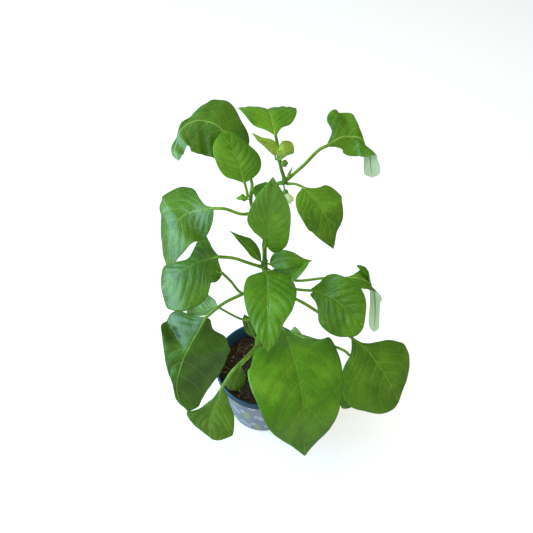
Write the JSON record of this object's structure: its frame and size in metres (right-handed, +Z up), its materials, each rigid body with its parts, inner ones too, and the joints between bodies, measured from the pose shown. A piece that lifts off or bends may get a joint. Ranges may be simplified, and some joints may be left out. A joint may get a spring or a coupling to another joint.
{
  "type": "potted chilli pepper plant",
  "caption": "Young chilli pepper plant in a tapered round plastic pot: forked green stem, broad pointed leaves on long stalks, a drooping white flower and compost.",
  "frame": {"origin": "centre of the pot's underside, on the floor", "axes": "+Z up along the pot's axis; the large front leaf reaches towards -Y and the plant's right is +X"},
  "size_m": [0.2553, 0.2125, 0.4626],
  "materials": {
    "pot_plastic": "petrol-blue rim and inside, pale grey-blue printed body, satin gloss",
    "compost": "dark peat and bark compost with pale grit, rough",
    "stem_green": "green young stem, satin",
    "leaf_green": "green, waxy sheen above, paler below",
    "petal": "soft greenish white"
  },
  "bodies": {
    "root": {"bud_top": "stem_green", "flower_cup": "stem_green", "flower_petals": "petal", "leaf_awl": "leaf_green", "leaf_bud_curled": "leaf_green", "leaf_bud_folded": "leaf_green", "leaf_centre_behind": "leaf_green", "leaf_centre_front": "leaf_green", "leaf_centre_narrow": "leaf_green", "leaf_centre_right": "leaf_green", "leaf_centre_right_low": "leaf_green", "leaf_centre_upper": "leaf_green", "leaf_front_large": "leaf_green", "leaf_left_behind": "leaf_green", "leaf_left_low": "leaf_green", "leaf_left_lower_large": "leaf_green", "leaf_left_middle": "leaf_green", "leaf_left_pale": "leaf_green", "leaf_left_sprig": "leaf_green", "leaf_left_upper": "leaf_green", "leaf_over_pot": "leaf_green", "leaf_right_behind": "leaf_green", "leaf_right_low_pale": "leaf_green", "leaf_right_lower": "leaf_green", "leaf_right_middle": "leaf_green", "leaf_right_under": "leaf_green", "leaf_right_upper": "leaf_green", "leaf_small_upright": "leaf_green", "leaf_top_back": "leaf_green", "leaf_top_left": "leaf_green", "leaf_top_right": "leaf_green", "leaf_top_young": "leaf_green", "pot": "pot_plastic", "soil": "compost", "stem": "stem_green"}
  },
  "joints": []
}
